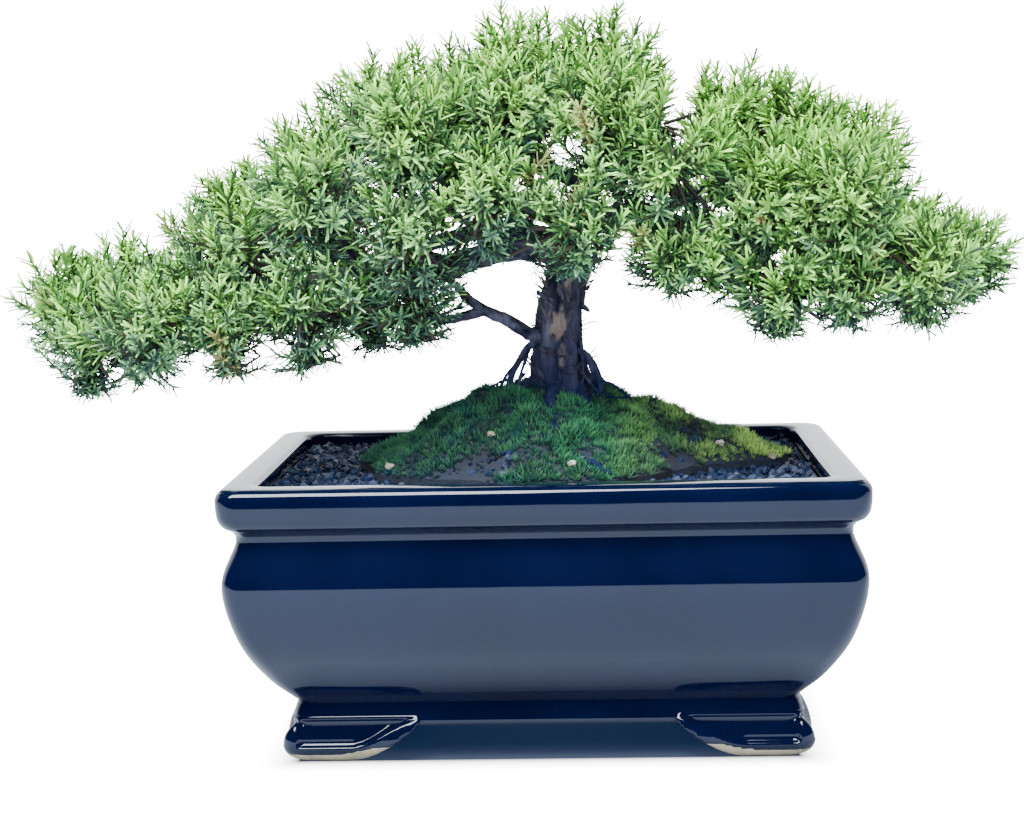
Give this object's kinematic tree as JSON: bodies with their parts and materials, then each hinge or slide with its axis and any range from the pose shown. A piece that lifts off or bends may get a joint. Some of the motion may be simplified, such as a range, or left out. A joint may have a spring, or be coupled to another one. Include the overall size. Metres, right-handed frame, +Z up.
{
  "type": "juniper bonsai",
  "caption": "Juniper bonsai with a wide asymmetric crown of short needles, on a moss mound in a glazed rectangular footed pot.",
  "frame": {"origin": "on the table under the middle of the whole plant's box", "axes": "+X right along the crown's long side, +Y to the back, +Z up, the front faces -Y"},
  "size_m": [0.3416, 0.1562, 0.2476],
  "materials": {
    "glaze": "glossy blue-black glaze over stoneware, bare cream clay under the feet",
    "screen": "moulded plastic drainage mesh",
    "soil": "dark damp granular bonsai soil",
    "moss": "short upright living moss, bright tips over dark bases",
    "bark": "dark shredding juniper bark with tan patches",
    "pebble": "small pale rough stones",
    "needles_top": "waxy juniper needles, yellow-green at the tips",
    "needles_front": "waxy juniper needles, yellow-green at the tips, blue-green inside",
    "needles_back": "waxy juniper needles, yellow-green at the tips, blue-green inside"
  },
  "bodies": {
    "root": {"pot": "glaze", "screen_left": "screen", "screen_right": "screen", "soil": "soil", "moss": "moss", "wood": "bark", "pebble_1": "pebble", "pebble_2": "pebble", "pebble_3": "pebble", "pebble_4": "pebble", "pebble_5": "pebble", "loose_twig": "bark", "foliage_top_01": "needles_top", "foliage_top_02": "needles_top", "foliage_top_03": "needles_top", "foliage_top_04": "needles_top", "foliage_top_05": "needles_top", "foliage_top_06": "needles_top", "foliage_top_07": "needles_top", "foliage_top_08": "needles_top", "foliage_top_09": "needles_top", "foliage_top_10": "needles_top", "foliage_top_11": "needles_top", "foliage_top_12": "needles_top", "foliage_top_13": "needles_top", "foliage_top_14": "needles_top", "foliage_front_01": "needles_front", "foliage_front_02": "needles_front", "foliage_front_03": "needles_front", "foliage_front_04": "needles_front", "foliage_front_05": "needles_front", "foliage_front_06": "needles_front", "foliage_front_07": "needles_front", "foliage_front_08": "needles_front", "foliage_front_09": "needles_front", "foliage_front_10": "needles_front", "foliage_front_11": "needles_front", "foliage_front_12": "needles_front", "foliage_front_13": "needles_front", "foliage_front_14": "needles_front", "foliage_front_15": "needles_front", "foliage_front_16": "needles_front", "foliage_front_17": "needles_front", "foliage_front_18": "needles_front", "foliage_front_19": "needles_front", "foliage_front_20": "needles_front", "foliage_back_01": "needles_back", "foliage_back_02": "needles_back", "foliage_back_03": "needles_back", "foliage_back_04": "needles_back", "foliage_back_05": "needles_back", "foliage_back_06": "needles_back", "foliage_back_07": "needles_back", "foliage_back_08": "needles_back", "foliage_back_09": "needles_back", "foliage_back_10": "needles_back", "foliage_back_11": "needles_back"}
  },
  "joints": []
}
